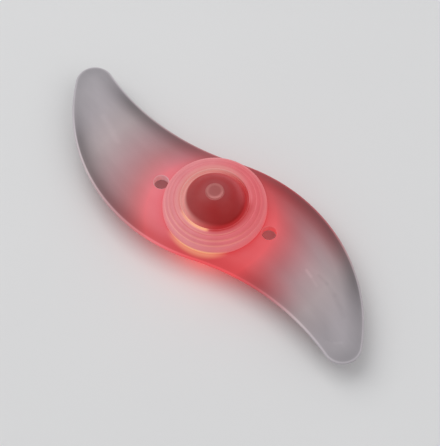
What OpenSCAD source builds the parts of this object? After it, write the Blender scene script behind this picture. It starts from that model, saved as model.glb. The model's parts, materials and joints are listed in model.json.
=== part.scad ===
// Light for a bicycle wheel's spokes: an S-shaped frosted leaf that two ties hold to the spokes,
// with a round lamp in its middle. The lamp's cap screws off to reach two coin cells, and its dome
// is the push button. Millimetres, +Z away from the wheel, origin on the lamp's axis at its flat back.

/* [Leaf] */
// Overall length of the leaf, tip to tip
leaf_length = 130; // [116:1:150]
// Radius of the edge that curves outwards
outer_edge_r = 56.3; // [52:0.1:62]
// Radius of the edge that curves inwards
inner_edge_r = 77; // [70:0.5:95]
// Radius of the rounded tips
tip_r = 6; // [5:0.1:8]
// Wall thickness of the leaf
leaf_wall = 1; // [0.8:0.05:1.5]
// Width of the flat brim along the edge
brim_w = 0.5; // [0.3:0.1:1.5]
// Height of the leaf beside the hub, over the underside of the brim
crown_h = 3; // [2.6:0.1:4.5]
// Height of the leaf near its tips, over the underside of the brim
tip_crown_h = 2.2; // [2:0.1:2.6]
// Extra rise along the middle of the leaf where it is widest
arch_h = 0.4; // [0:0.1:1]
// Leaf that shows beside the hub at the waist
waist_margin = 2; // [1.8:0.1:5]

/* [Tie holes] */
// Diameter of the two holes for the ties
tie_hole_d = 4.6; // [3.5:0.1:5.5]
// Distance from the hub to the edge of a tie hole
tie_hole_gap = 0.35; // [0.3:0.05:2]
// Direction of the tie holes from the long axis, in degrees
tie_hole_angle = 22; // [10:1:35]
// Wall of the boss around each tie hole
tie_boss_wall = 1.4; // [1:0.1:2]

/* [Coin cells] */
// Diameter of a coin cell
cell_d = 20; // [20:0.5:24.5]
// Thickness of a coin cell
cell_t = 3.2; // [2:0.1:3.2]

/* [Lamp base] */
// Wall of the cup below the flange
base_wall = 1.4; // [1.2:0.1:2]
// Floor of the cup
floor_t = 1.4; // [1:0.1:2]
// Thickness of the flange that sits on the leaf
flange_t = 1.7; // [1.2:0.1:2.5]
// Wall of the threaded neck
neck_wall = 1.1; // [0.9:0.05:1.5]
// Height of the neck above the flange
neck_h = 2.1; // [2:0.1:3.4]
// Thickness of the retaining clip
clip_t = 1; // [0.8:0.1:1.2]
// Opening of the retaining clip, in degrees
clip_gap = 50; // [30:5:90]
// Width of the keys that stop the base from turning in the leaf
key_w = 2; // [1.5:0.1:3]

/* [Thread] */
// Rise of the thread in one turn
thread_pitch = 0.9; // [0.8:0.05:0.95]
// Height of the thread's ridge
thread_depth = 0.5; // [0.4:0.05:0.6]
// Turns of thread on the neck, and in the cap
thread_turns = 1.2; // [0.9:0.05:1.25]
// Radial play between the cap's thread and the neck's
thread_play = 0.15; // [0.1:0.01:0.2]

/* [Cap] */
// Wall of the cap's skirt
cap_wall = 2.75; // [2.5:0.05:3.5]
// Thickness of the cap's roof
roof_t = 1.2; // [1:0.1:1.6]
// How far the shoulder draws in from the skirt to the flat top
shoulder_w = 5.3; // [4.8:0.1:5.6]
// Number of rings round the cap
ring_count = 4; // [2:1:6]
// Depth of the grooves between the rings
ring_groove = 0.2; // [0.1:0.05:0.3]
// Thickness of the cap's gasket
gasket_t = 0.6; // [0.4:0.1:1]

/* [Button] */
// Height of the dome over its flange
dome_h = 6.5; // [6:0.1:7.5]
// Wall of the dome
dome_wall = 1; // [0.8:0.1:1.2]
// Ledge between the dome and the edge of the cap's opening
dome_ledge = 0.5; // [0.3:0.1:0.8]
// Thickness of the button's flange
button_flange_t = 0.9; // [0.7:0.1:1.1]
// Thickness of the seal over the button's flange
seal_t = 0.3; // [0.2:0.05:0.5]
// Width of the seal over the button's flange
seal_w = 0.75; // [0.6:0.05:1]
// Diameter of the post that presses the switch
post_d = 5.4; // [4:0.1:6]
// Rise of the round pad on top of the dome
pad_h = 0.15; // [0.1:0.05:0.3]
// Travel of the button
press_travel = 0.4; // [0.2:0.05:0.5]

/* [Circuit] */
// Thickness of the circuit board
board_t = 1.2; // [0.8:0.1:1.6]
// Height of the sprung contact under the cells
spring_h = 1; // [0.8:0.1:1.6]
// Height of the contact between the cells and the board
contact_h = 0.8; // [0.7:0.1:1.2]
// Thickness of the contact strips
strip_t = 0.25; // [0.2:0.05:0.3]
// Diameter of an LED
led_d = 3; // [2:0.1:3]
// Height of an LED
led_h = 4.4; // [3.4:0.1:4.6]
// Direction of the first LED, in degrees
led_angle = -64; // [-75:1:-55]
// Side of the push switch
switch_side = 6; // [5:0.1:6.2]
// Height of the push switch without its plunger
switch_h = 3.4; // [3.1:0.1:3.6]
// Height of the push switch to the top of its plunger
plunger_top_h = 5; // [4.6:0.1:5.2]
// Diameter of the switch's plunger
plunger_d = 3.5; // [3:0.1:3.6]

/* [Hidden] */
$fn = 64;
// Overshoot of a cut past the face that it opens
cut = 1;

// Clearances: of loose fits, of the leaf's seat, of contacts, of close fits, and round the button's flange
fit_gap = 0.15;
seat_gap = 0.1;
contact_gap = 0.02;
slide_gap = 0.05;
button_gap = 0.5;

// Radii, from the cells outwards
cell_r = cell_d / 2;
holder_wall = 1.2;
holder_in_r = cell_r + fit_gap;
holder_r = holder_in_r + holder_wall;
base_in_r = holder_r + fit_gap;
base_r = base_in_r + base_wall;
neck_r = base_in_r + neck_wall;
cap_bore_r = neck_r + thread_depth + thread_play;
hub_r = cap_bore_r + cap_wall;
cap_top_r = hub_r - shoulder_w;
board_r = base_in_r - 2 * fit_gap;
button_flange_r = base_in_r - button_gap;
opening_r = button_flange_r - seal_w;
dome_r = opening_r - dome_ledge;
leaf_bore_r = base_r + seat_gap;

// Heights, from the floor upwards
cell_z = floor_t + spring_h;
cell_top_z = cell_z + 2 * cell_t;
board_z = cell_top_z + contact_h;
board_top_z = board_z + board_t;
board_over_seat = 0.3;
seat_z = board_top_z - board_over_seat;
brim_z = seat_z - crown_h;
flange_top_z = seat_z + flange_t;
neck_top_z = flange_top_z + neck_h;
roof_z = neck_top_z + gasket_t;
cap_top_z = roof_z + roof_t;
cap_h = cap_top_z - flange_top_z;
button_top_z = roof_z - seal_t;
dome_top_z = button_top_z + dome_h;
plunger_top_z = board_top_z + plunger_top_h;

// The leaf's edge is made of arcs that run smoothly into each other. These are the centres, for the
// leaf on the -X side, of its tip, of the edge that curves outwards and of the edge that curves inwards.
waist_half = hub_r + waist_margin;
tip_c = [-(leaf_length / 2 - tip_r), 0];
outer_c = meet([0, 0], outer_edge_r - waist_half, tip_c, outer_edge_r - tip_r);
inner_c = meet(-outer_c, outer_edge_r + inner_edge_r, tip_c, inner_edge_r + tip_r);
// Directions of the points where the arcs run into each other
tip_from = heading(tip_c - inner_c);
tip_to = heading(outer_c - tip_c);
waist_dir = heading(inner_c + outer_c);
// Segments along each long arc and round each tip
edge_steps = 24;
tip_steps = 10;
half_count = tip_steps + 2 * edge_steps;
loop_count = 2 * half_count;
// The roll-off from the brim to the middle of the leaf is drawn in this many bands
roll_steps = 5;
tip_land = 0.4;
roll_w = tip_r - brim_w - tip_land;
cross_steps = 4;

// The upper one of the two points that lie r from p and s from q
function meet(p, r, q, s) =
  let (
    d = norm(q - p),
    along = (r * r - s * s + d * d) / (2 * d),
    across = sqrt(r * r - along * along),
    dir = (q - p) / d,
    foot = p + along * dir,
    side = [-dir[1], dir[0]] * across
  )
  foot[1] + side[1] > foot[1] - side[1] ? foot + side : foot - side;

function heading(v) = atan2(v[1], v[0]);

function polar(r, a) = [r * cos(a), r * sin(a)];

// Points along an arc, without its last one
function arc(c, r, from, to, steps) =
  [for (i = [0:steps - 1]) c + polar(r, from + (to - from) * i / steps)];

// Half of the leaf's edge, moved inwards by d: the +X tip, then the far side from +X to -X
function half_edge(d) = concat(
  arc(-tip_c, tip_r - d, tip_from, tip_to, tip_steps),
  arc(-outer_c, outer_edge_r - d, tip_to, waist_dir, edge_steps),
  arc(inner_c, inner_edge_r + d, waist_dir - 180, tip_from, edge_steps)
);

function edge_loop(d) = let (half = half_edge(d)) concat(half, [for (p = half) -p]);

// Height of the leaf's middle over the brim's underside, at a distance x along it
function middle_h(x) = tip_crown_h + (crown_h - tip_crown_h) * (1 - pow(2 * x / leaf_length, 2));

// Share of the roll-off that is done after step i of it
function roll_share(i) = let (t = i / roll_steps) 1 - (1 - t) * (1 - t);

// Loop i of the upper surface: loop 0 is the edge, and loops 1 and up climb from the brim
function upper_loop(i) =
  let (share = i == 0 ? 0 : roll_share(i - 1), inset = i == 0 ? 0 : brim_w + roll_w * (i - 1) / roll_steps)
  [for (p = edge_loop(inset)) [p[0], p[1], leaf_wall + (middle_h(p[0]) - leaf_wall) * share]];

// Row k of points that cross the middle of the leaf between the two sides of the innermost loop
function cross_row(loop, k) =
  let (
    a = loop[tip_steps + k],
    b = loop[(loop_count - k) % loop_count],
    rise = arch_h * pow(norm(b - a) / (2 * waist_half), 2)
  )
  [for (j = [1:cross_steps - 1]) let (t = j / cross_steps) a + (b - a) * t + [0, 0, 4 * rise * t * (1 - t)]];

function upper_points() =
  let (loops = [for (i = [0:roll_steps + 1]) upper_loop(i)], inner = loops[roll_steps + 1])
  concat(
    [for (l = loops) each l],
    [for (k = [0:2 * edge_steps]) each cross_row(inner, k)]
  );

// Number of a point: j of loop i, or step j of cross row k
function loop_point(i, j) = i * loop_count + j % loop_count;
function cross_point(k, j) =
  j == 0 ? loop_point(roll_steps + 1, tip_steps + k) :
  j == cross_steps ? loop_point(roll_steps + 1, loop_count - k) :
  (roll_steps + 2) * loop_count + k * (cross_steps - 1) + j - 1;

function quad(a, b, c, d) = [[a, b, c], [a, c, d]];

// Triangles of the upper surface, clockwise seen from above
function upper_faces() = concat(
  [for (i = [0:roll_steps], j = [0:loop_count - 1])
    each quad(loop_point(i, j), loop_point(i + 1, j), loop_point(i + 1, j + 1), loop_point(i, j + 1))],
  [for (k = [0:2 * edge_steps - 1], j = [0:cross_steps - 1])
    each quad(cross_point(k, j), cross_point(k, j + 1), cross_point(k + 1, j + 1), cross_point(k + 1, j))],
  [for (end = [0, half_count]) each tip_fan(end)]
);

// Triangles that close a tip, from its first cross row
function tip_fan(start) =
  let (hub = loop_point(roll_steps + 1, start), row = start == 0 ? 0 : 2 * edge_steps)
  let (across = [for (j = [0:cross_steps]) cross_point(row, j)])
  let (line = start == 0 ? across : [for (j = [cross_steps:-1:0]) across[j]])
  concat(
    [for (j = [1:tip_steps - 1])
      [hub, loop_point(roll_steps + 1, start + j + 1), loop_point(roll_steps + 1, start + j)]],
    [for (j = [0:cross_steps - 2]) [hub, line[j + 1], line[j]]]
  );

// The crowned leaf, with its underside one wall below the upper surface and the brim's underside at z = 0
module crowned_leaf() {
  upper = upper_points();
  count = len(upper);
  faces = upper_faces();
  polyhedron(
    concat(upper, [for (p = upper) p - [0, 0, leaf_wall]]),
    concat(
      faces,
      [for (f = faces) [f[2] + count, f[1] + count, f[0] + count]],
      [for (j = [0:loop_count - 1])
        each quad(loop_point(0, j), loop_point(0, j + 1), loop_point(0, j + 1) + count, loop_point(0, j) + count)]
    ),
    convexity = 6
  );
}

tie_hole_r = tie_hole_d / 2;
tie_boss_r = tie_hole_r + tie_boss_wall;
tie_hole_dist = hub_r + tie_hole_gap + tie_hole_r;
// The keys stand out of the cup by their depth, and start inside its wall
key_depth = 1.2;
key_h = 1.6;
key_sink = 0.6;

module at_tie_holes() {
  for (side = [0, 180])
    rotate(tie_hole_angle + side)
      translate([tie_hole_dist, 0, 0])
        children();
}

// Two blocks under the flange, in line across the waist
module keys(gap) {
  for (side = [90, 270])
    rotate(side)
      translate([base_r - key_sink, -key_w / 2 - gap, seat_z - key_h - gap])
        cube([key_sink + key_depth + gap, key_w + 2 * gap, key_h + gap]);
}

module leaf_shell() {
  color([0.86, 0.78, 0.8])
    difference() {
      union() {
        translate([0, 0, brim_z])
          crowned_leaf();
        translate([0, 0, brim_z])
          cylinder(r = hub_r, h = crown_h);
        at_tie_holes()
          translate([0, 0, brim_z])
            cylinder(r = tie_boss_r, h = crown_h - leaf_wall / 2);
      }
      translate([0, 0, brim_z - cut])
        cylinder(r = leaf_bore_r, h = crown_h + 2 * cut);
      translate([0, 0, seat_z])
        cylinder(r = hub_r + seat_gap, h = cut);
      at_tie_holes()
        translate([0, 0, brim_z - cut])
          cylinder(r = tie_hole_r, h = crown_h + arch_h + 2 * cut);
      keys(seat_gap);
    }
}

// Half widths of the thread's ridge: at its foot and crest, which are shares of the pitch, and at its
// root, which is sunk into the wall
foot_share = 0.29;
crest_share = 0.13;
ridge_foot = foot_share * thread_pitch;
ridge_crest = crest_share * thread_pitch;
ridge_sink = 0.3;
ridge_root = ridge_foot + (ridge_foot - ridge_crest) * ridge_sink / thread_depth;
thread_steps = 36;
// The neck's ridge starts here. The cap's ridge runs half a pitch below it, and starts where it clears
// the skirt's lower edge.
thread_from = 7;
thread_start_z = 0.45;
edge_land = 0.1;
cap_thread_from = 360 * (ridge_root + edge_land + thread_pitch / 2 - thread_start_z) / thread_pitch;

// A ridge that climbs round the axis from a start angle, between a foot radius and a crest radius
module ridge(foot_r, crest_r, from, z) {
  steps = round(thread_turns * thread_steps);
  outwards = foot_r < crest_r;
  root_r = outwards ? foot_r - ridge_sink : foot_r + ridge_sink;
  outline = [[root_r, -ridge_root], [crest_r, -ridge_crest], [crest_r, ridge_crest], [root_r, ridge_root]];
  n = len(outline);
  points = [for (i = [0:steps], p = outline)
    let (turn = i / thread_steps, a = from + 360 * turn)
    [p[0] * cos(a), p[0] * sin(a), z + p[1] + thread_pitch * (a / 360)]];
  sides = [for (i = [0:steps - 1], j = [0:n - 1])
    each quad(i * n + j, (i + 1) * n + j, (i + 1) * n + (j + 1) % n, i * n + (j + 1) % n)];
  ends = concat(
    [for (j = [1:n - 2]) [0, j, j + 1]],
    [for (j = [1:n - 2]) [steps * n, steps * n + j + 1, steps * n + j]]
  );
  faces = concat(sides, ends);
  polyhedron(points, outwards ? [for (f = faces) [f[2], f[1], f[0]]] : faces, convexity = 6);
}

base_chamfer = 0.8;
clip_groove = 0.5;
clip_z = brim_z - clip_t - slide_gap;

module lamp_base() {
  color([0.9, 0.75, 0.77])
    difference() {
      union() {
        rotate_extrude()
          polygon([[0, 0], [base_r - base_chamfer, 0], [base_r, base_chamfer], [base_r, seat_z],
            [hub_r, seat_z], [hub_r, flange_top_z], [neck_r, flange_top_z], [neck_r, neck_top_z],
            [base_in_r, neck_top_z], [base_in_r, floor_t], [0, floor_t]]);
        ridge(neck_r, neck_r + thread_depth, thread_from, flange_top_z + thread_start_z);
        keys(0);
      }
      translate([0, 0, clip_z - slide_gap])
        difference() {
          cylinder(r = base_r + cut, h = clip_t + 2 * slide_gap);
          translate([0, 0, -cut])
            cylinder(r = base_r - clip_groove, h = clip_t + 2 * slide_gap + 2 * cut);
        }
    }
}

clip_w = 1.8;

module retaining_clip() {
  clip_in_r = base_r - clip_groove + slide_gap;
  color([0.75, 0.76, 0.78])
    rotate(90 + clip_gap / 2)
      rotate_extrude(angle = 360 - clip_gap)
        translate([clip_in_r, clip_z])
          square([clip_w, clip_t]);
}

// The cap's outside is a quarter of an ellipse, upright at the skirt and flat at the top. Its rings start
// above a plain lower edge, and grooves part them.
ring_from = 10;
ring_span = (90 - ring_from) / ring_count;
ring_steps = 8;
ring_profile = [for (ring = [0:ring_count - 1], i = [0:ring_steps - 1])
  let (
    u = i / ring_steps,
    a = ring_from + ring_span * (ring + u),
    groove = ring == 0 && i == 0 ? 0 : ring_groove * pow(1 - sin(180 * u), 2)
  )
  [cap_top_r + shoulder_w * cos(a), flange_top_z + cap_h * sin(a)] - polar(groove, a)];
gasket_r = neck_r;
pocket_r = gasket_r + slide_gap;

module screw_cap() {
  color([0.9, 0.6, 0.63])
    union() {
      rotate_extrude()
        polygon(concat(
          [[hub_r, flange_top_z]],
          ring_profile,
          [[cap_top_r, cap_top_z], [opening_r, cap_top_z], [opening_r, roof_z], [pocket_r, roof_z],
            [pocket_r, neck_top_z], [cap_bore_r, neck_top_z], [cap_bore_r, flange_top_z]]
        ));
      ridge(cap_bore_r, cap_bore_r - thread_depth, cap_thread_from,
        flange_top_z + thread_start_z - thread_pitch / 2);
    }
}

module ring(in_r, out_r, z, h) {
  translate([0, 0, z])
    difference() {
      cylinder(r = out_r, h = h);
      translate([0, 0, -cut])
        cylinder(r = in_r, h = h + 2 * cut);
    }
}

module cap_gasket() {
  color([0.3, 0.3, 0.32])
    ring(base_in_r + fit_gap, gasket_r, neck_top_z, gasket_t);
}

module dome_seal() {
  color([0.35, 0.33, 0.34])
    ring(opening_r + slide_gap, button_flange_r, button_top_z, seal_t);
}

// The dome's outer surface is part of a sphere through its rim and its top
dome_sphere_r = (dome_r * dome_r + dome_h * dome_h) / (2 * dome_h);
dome_c_z = dome_top_z - dome_sphere_r;
button_in_r = dome_r - dome_wall;

module button_dome() {
  post_z = plunger_top_z + contact_gap;
  color([0.62, 0.2, 0.21])
    rotate_extrude($fn = 96) {
      difference() {
        intersection() {
          translate([0, dome_c_z])
            circle(r = dome_sphere_r);
          translate([0, button_top_z])
            square([dome_r + cut, dome_h + cut]);
        }
        translate([0, dome_c_z])
          circle(r = dome_sphere_r - dome_wall);
      }
      translate([button_in_r, button_top_z - button_flange_t])
        square([button_flange_r - button_in_r, button_flange_t]);
      translate([0, post_z])
        square([post_d / 2, dome_top_z + pad_h - post_z]);
    }
}

// The LEDs stand in a ring, just inside the foot of the dome
led_r = led_d / 2;
led_rim = 0.4;
led_room = 0.45;
led_count = 3;
led_step = 360 / led_count;
led_dist = button_in_r - led_room - led_r;

// Clips on the holder reach over the board's edge, between the LEDs
clip_angles = [for (i = [0:led_count - 1]) led_angle + led_step * (i + 0.5)];
hook_w = 3;
hook_h = 0.8;
hook_wall = 0.75;
hook_reach = 0.5;
strip_w = 3;
strip_angle = 90 + led_angle;
strip_out_r = holder_r - slide_gap;
strip_in_r = strip_out_r - strip_t;

// A block that stands across the radius, from in_r to out_r, at an angle
module radial_block(angle, in_r, out_r, width, z, h) {
  rotate(angle)
    translate([in_r, -width / 2, z])
      cube([out_r - in_r, width, h]);
}

module cell_holder() {
  color([0.92, 0.92, 0.9])
    intersection() {
      difference() {
        union() {
          ring(holder_in_r, holder_r, floor_t, board_z - floor_t);
          for (a = clip_angles) {
            radial_block(a, holder_r - hook_wall, holder_r + cut, hook_w,
              board_z - cut, cut + board_t + slide_gap + hook_h);
            radial_block(a, holder_r - hook_wall - fit_gap - hook_reach, holder_r + cut, hook_w,
              board_top_z + slide_gap, hook_h);
          }
        }
        radial_block(strip_angle, strip_in_r - slide_gap, holder_r + cut, strip_w + 2 * fit_gap,
          floor_t - cut, board_z - floor_t + 2 * cut);
        radial_block(strip_angle, cell_r - cut, holder_r + cut, strip_w + 2 * fit_gap,
          floor_t - cut, cut + strip_t + fit_gap);
      }
      cylinder(r = holder_r, h = dome_top_z);
    }
}

// A strip runs up the holder's wall from a plate on the floor, whose middle is pressed up against the cell
module negative_contact() {
  plate_inset = 1;
  plate_land = 3;
  crest_r = 3;
  plate_r = cell_r - plate_inset;
  ramp_r = plate_r - plate_land;
  crest_z = cell_z - contact_gap;
  color([0.78, 0.74, 0.6])
    union() {
      rotate_extrude()
        polygon([[plate_r, floor_t], [plate_r, floor_t + strip_t], [ramp_r, floor_t + strip_t],
          [crest_r, crest_z], [0, crest_z], [0, crest_z - strip_t], [crest_r, crest_z - strip_t],
          [ramp_r, floor_t]]);
      radial_block(strip_angle, plate_r - strip_w / 2, strip_out_r, strip_w, floor_t, strip_t);
      radial_block(strip_angle, strip_in_r, strip_out_r, strip_w, floor_t, board_top_z + strip_t - floor_t);
    }
}

// A coin cell: the wide can above, and the narrower cap of the other pole below
module coin_cell(z) {
  cell_step = 0.6;
  cell_inset = 0.9;
  color([0.8, 0.8, 0.82])
    translate([0, 0, z])
      union() {
        translate([0, 0, cell_step])
          cylinder(r = cell_r, h = cell_t - cell_step);
        cylinder(r = cell_r - cell_inset, h = cell_t);
      }
}

module lower_cell() {
  coin_cell(cell_z);
}

module upper_cell() {
  coin_cell(cell_z + cell_t);
}

film_t = 0.2;
film_inset = 0.5;
film_gap = 0.4;
contact_foot_r = 3;
contact_waist_r = 2.4;
contact_tip_r = 1;

module insulator_disc() {
  color([0.95, 0.85, 0.45])
    ring(contact_foot_r + film_gap, cell_r - film_inset, cell_top_z, film_t);
}

module positive_contact() {
  color([0.78, 0.74, 0.6])
    rotate_extrude()
      polygon([[0, cell_top_z + contact_gap], [contact_tip_r, cell_top_z + contact_gap],
        [contact_waist_r, board_z - strip_t], [contact_foot_r, board_z - strip_t],
        [contact_foot_r, board_z], [0, board_z]]);
}

lead_w = 0.45;
lead_pitch = 2.54;
lead_hole_r = 0.4;
lead_end_z = cell_top_z + film_t + fit_gap;
pin_w = 0.7;
pin_t = 0.3;
pin_hole_r = 0.45;
pin_row = 4.5;

module at_led(i) {
  rotate(led_angle + led_step * i)
    translate([led_dist, 0, 0])
      children();
}

// Two leads under each LED, across the radius
module at_leads() {
  for (i = [0:led_count - 1], side = [-1, 1])
    at_led(i)
      translate([0, side * lead_pitch / 2, 0])
        children();
}

// Four pins, two on each of two opposite sides of the switch
module at_pins() {
  for (side = [0, 180], y = [-1, 1])
    rotate(side)
      translate([switch_side / 2 + pin_t / 2, y * pin_row / 2, 0])
        children();
}

module circuit_board() {
  color([0.16, 0.4, 0.24])
    difference() {
      translate([0, 0, board_z])
        cylinder(r = board_r, h = board_t);
      for (a = clip_angles)
        radial_block(a, holder_r - hook_wall - fit_gap, board_r + cut, hook_w + 2 * fit_gap,
          board_z - cut, board_t + 2 * cut);
      radial_block(strip_angle, strip_in_r - fit_gap, board_r + cut, strip_w + 2 * fit_gap,
        board_z - cut, board_t + 2 * cut);
      at_leads()
        translate([0, 0, board_z - cut])
          cylinder(r = lead_hole_r, h = board_t + 2 * cut);
      at_pins()
        translate([0, 0, board_z - cut])
          cylinder(r = pin_hole_r, h = board_t + 2 * cut);
    }
}

switch_cover_t = 0.3;
switch_floor_t = 1;
switch_cavity_r = 0.4 * switch_side;
switch_z = board_top_z;
cover_z = switch_z + switch_h - switch_cover_t;
plunger_flange_t = 0.6;

module square_block(side, z, h) {
  translate([-side / 2, -side / 2, z])
    cube([side, side, h]);
}

module switch_body() {
  color([0.15, 0.15, 0.16])
    difference() {
      square_block(switch_side, switch_z, switch_h - switch_cover_t);
      translate([0, 0, switch_z + switch_floor_t])
        cylinder(r = switch_cavity_r, h = switch_h);
    }
}

// The sprung disc lies on the switch's floor and bulges up to just below the pressed plunger
module snap_disc() {
  disc_r = switch_cavity_r - slide_gap;
  disc_t = 0.1;
  floor_z = switch_z + switch_floor_t;
  pressed_z = cover_z - slide_gap - plunger_flange_t - press_travel;
  rise = pressed_z - floor_z - slide_gap;
  bulge_r = (disc_r * disc_r + rise * rise) / (2 * rise);
  color([0.8, 0.8, 0.82])
    rotate_extrude()
      difference() {
        intersection() {
          translate([0, floor_z + rise - bulge_r])
            circle(r = bulge_r);
          translate([0, floor_z])
            square([disc_r, rise + cut]);
        }
        translate([0, floor_z + rise - bulge_r - disc_t])
          circle(r = bulge_r);
      }
}

module switch_plunger() {
  flange_z = cover_z - slide_gap - plunger_flange_t;
  color([0.1, 0.1, 0.1])
    union() {
      translate([0, 0, flange_z])
        cylinder(r = switch_cavity_r - slide_gap, h = plunger_flange_t);
      translate([0, 0, flange_z])
        cylinder(d = plunger_d, h = plunger_top_z - flange_z);
    }
}

module switch_cover() {
  color([0.72, 0.73, 0.75])
    difference() {
      square_block(switch_side, cover_z, switch_cover_t);
      translate([0, 0, cover_z - cut])
        cylinder(r = plunger_d / 2 + slide_gap, h = switch_cover_t + 2 * cut);
    }
}

module switch_pins() {
  color([0.8, 0.8, 0.78])
    at_pins()
      translate([-pin_t / 2, -pin_w / 2, lead_end_z])
        cube([pin_t, pin_w, switch_z + switch_floor_t - lead_end_z]);
}

module led(i) {
  rim_h = 1;
  color([0.85, 0.1, 0.1])
    at_led(i)
      translate([0, 0, board_top_z])
        union() {
          cylinder(r = led_r + led_rim, h = rim_h);
          cylinder(r = led_r, h = led_h - led_r);
          translate([0, 0, led_h - led_r])
            sphere(r = led_r);
        }
}

module led_leads() {
  color([0.82, 0.82, 0.8])
    at_leads()
      translate([-lead_w / 2, -lead_w / 2, lead_end_z])
        cube([lead_w, lead_w, board_top_z - lead_end_z]);
}

// The chip's drop of black resin is a shallow cap of a sphere
module controller_blob() {
  blob_r = 1.8;
  blob_h = 0.9;
  blob_sphere_r = (blob_r * blob_r + blob_h * blob_h) / (2 * blob_h);
  color([0.08, 0.08, 0.09])
    rotate(led_angle + led_step / 2)
      translate([led_dist, 0, board_top_z])
        intersection() {
          translate([0, 0, blob_h - blob_sphere_r])
            sphere(r = blob_sphere_r);
          cylinder(r = blob_r, h = blob_h);
        }
}

resistor_size = [0.8, 1.6, 0.5];
capacitor_size = [1.2, 2, 0.9];

module resistors() {
  color([0.12, 0.12, 0.13])
    for (i = [0:led_count - 1])
      rotate(led_angle + led_step * (i + 0.25))
        translate([led_dist + led_r - resistor_size[0] / 2, -resistor_size[1] / 2, board_top_z])
          cube(resistor_size);
}

module capacitor() {
  color([0.66, 0.52, 0.38])
    rotate(led_angle + 1.5 * led_step)
      translate([led_dist - capacitor_size[0] / 2, -capacitor_size[1] / 2, board_top_z])
        cube(capacitor_size);
}

leaf_shell();
lamp_base();
retaining_clip();
screw_cap();
cap_gasket();
dome_seal();
button_dome();
cell_holder();
negative_contact();
lower_cell();
upper_cell();
insulator_disc();
positive_contact();
circuit_board();
switch_body();
snap_disc();
switch_plunger();
switch_cover();
switch_pins();
led(0);  // led_1
led(1);  // led_2
led(2);  // led_3
led_leads();
controller_blob();
resistors();
capacitor();
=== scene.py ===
"""Looks of a light for a bicycle wheel's spokes: a frosted leaf round a lamp that glows red."""
import json
import math

import bmesh
import bpy
from mathutils import Matrix, Vector


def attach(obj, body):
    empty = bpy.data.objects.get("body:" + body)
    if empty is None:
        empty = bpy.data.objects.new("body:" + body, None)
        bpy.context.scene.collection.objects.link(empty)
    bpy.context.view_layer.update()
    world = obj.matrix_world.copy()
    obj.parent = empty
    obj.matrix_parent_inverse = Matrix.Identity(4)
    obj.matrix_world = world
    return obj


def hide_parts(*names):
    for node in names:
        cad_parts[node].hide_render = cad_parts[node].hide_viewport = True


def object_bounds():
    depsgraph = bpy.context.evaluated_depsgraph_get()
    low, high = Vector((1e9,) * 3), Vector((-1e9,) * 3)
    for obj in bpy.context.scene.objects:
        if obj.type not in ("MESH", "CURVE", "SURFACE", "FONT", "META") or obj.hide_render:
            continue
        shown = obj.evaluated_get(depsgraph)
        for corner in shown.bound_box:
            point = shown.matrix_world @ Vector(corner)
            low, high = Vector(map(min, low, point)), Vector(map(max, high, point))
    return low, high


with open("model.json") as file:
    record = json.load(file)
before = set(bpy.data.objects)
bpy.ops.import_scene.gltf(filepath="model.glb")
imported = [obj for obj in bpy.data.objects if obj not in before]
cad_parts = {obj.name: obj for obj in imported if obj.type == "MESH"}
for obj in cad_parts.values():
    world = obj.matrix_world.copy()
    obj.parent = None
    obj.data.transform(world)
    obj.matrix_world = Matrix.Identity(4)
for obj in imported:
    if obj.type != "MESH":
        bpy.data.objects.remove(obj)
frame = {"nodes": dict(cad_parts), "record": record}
CAD_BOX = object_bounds()

# The frame is in metres. The sizes here are in millimetres, and repeat those of the CAD model.
MM = 0.001
UP = Vector((0, 0, 1))

# Leaf
LEAF_LENGTH = 130.0
OUTER_EDGE_R = 56.3
INNER_EDGE_R = 77.0
TIP_R = 6.0
WAIST_HALF = 18.0
LEAF_WALL = 1.0
BRIM_W = 0.5
BRIM_ROUND_R = 0.35
ROLL_W = 5.1
ROLL_CREASE = 0.08
CROWN_H = 3.0
TIP_CROWN_H = 2.2
ARCH_H = 0.4
BRIM_Z = 7.5
SEAT_Z = 10.5
SEAT_R = 16.1
LEAF_BORE_R = 13.0
COLLAR_RISE = 0.2
TIE_HOLES = [mount for mount in frame["record"]["mounts"] if mount["kind"] == "bore"]
TIE_BOSS_R = 3.7
TIE_BOSS_TOP_Z = BRIM_Z + CROWN_H - LEAF_WALL / 2
TIE_TOP_Z = BRIM_Z + CROWN_H + 0.1
TIE_LIP = 0.3

# Lamp base
HUB_R = 16.0
BASE_R = 12.9
BASE_IN_R = 11.5
NECK_R = 12.6
FOOT_CHAMFER = 0.8
FLOOR_Z = 1.4
FLANGE_TOP_Z = 12.2
NECK_TOP_Z = 14.3
CLIP_LOW_Z = 6.4
CLIP_HIGH_Z = 7.5
CLIP_GROOVE_R = 12.4
KEY_SIZE = Vector((1.8, 2.0, 1.6))
KEY_OUT_R = 14.1
KEY_PLAY = 0.1

# Screw cap
CAP_BORE_R = 13.25
CAP_TOP_R = 10.7
CAP_TOP_Z = 16.1
ROOF_Z = 14.9
POCKET_R = 12.65
OPENING_R = 10.25
RING_COUNT = 4
RING_FROM = math.radians(10)
RING_SPAN = (math.pi / 2 - RING_FROM) / RING_COUNT
RING_GROOVE = 0.2

# Threads. The shares are of the pitch, from the middle of the ridge, and of the ridge's length.
THREAD_PITCH = 0.9
THREAD_DEPTH = 0.5
THREAD_TURNS = 1.2
THREAD_FOOT_SHARE = 0.29
THREAD_CREST_SHARE = 0.13
THREAD_RUN_OUT_SHARE = 0.06
THREAD_SINK = 0.3
# Where each ridge starts, and the height of its helix at angle 0
NECK_THREAD = (math.radians(7), 12.65)
CAP_THREAD = (math.radians(179), 12.2)

# Button dome
DOME_R = 9.75
DOME_SPHERE_R = 10.5625
DOME_WALL = 1.0
DOME_TOP_Z = 21.1
BUTTON_FLANGE_R = 11.0
BUTTON_FLANGE_T = 0.9
BUTTON_TOP_Z = 14.6
POST_R = 2.7
POST_Z = 15.82
PAD_TOP_Z = 21.25

# Fillets, from the sharpest to the softest
CRISP = 0.1
FINE = 0.15
EASED = 0.2
MOULDED = 0.25
SOFT = 0.3

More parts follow.
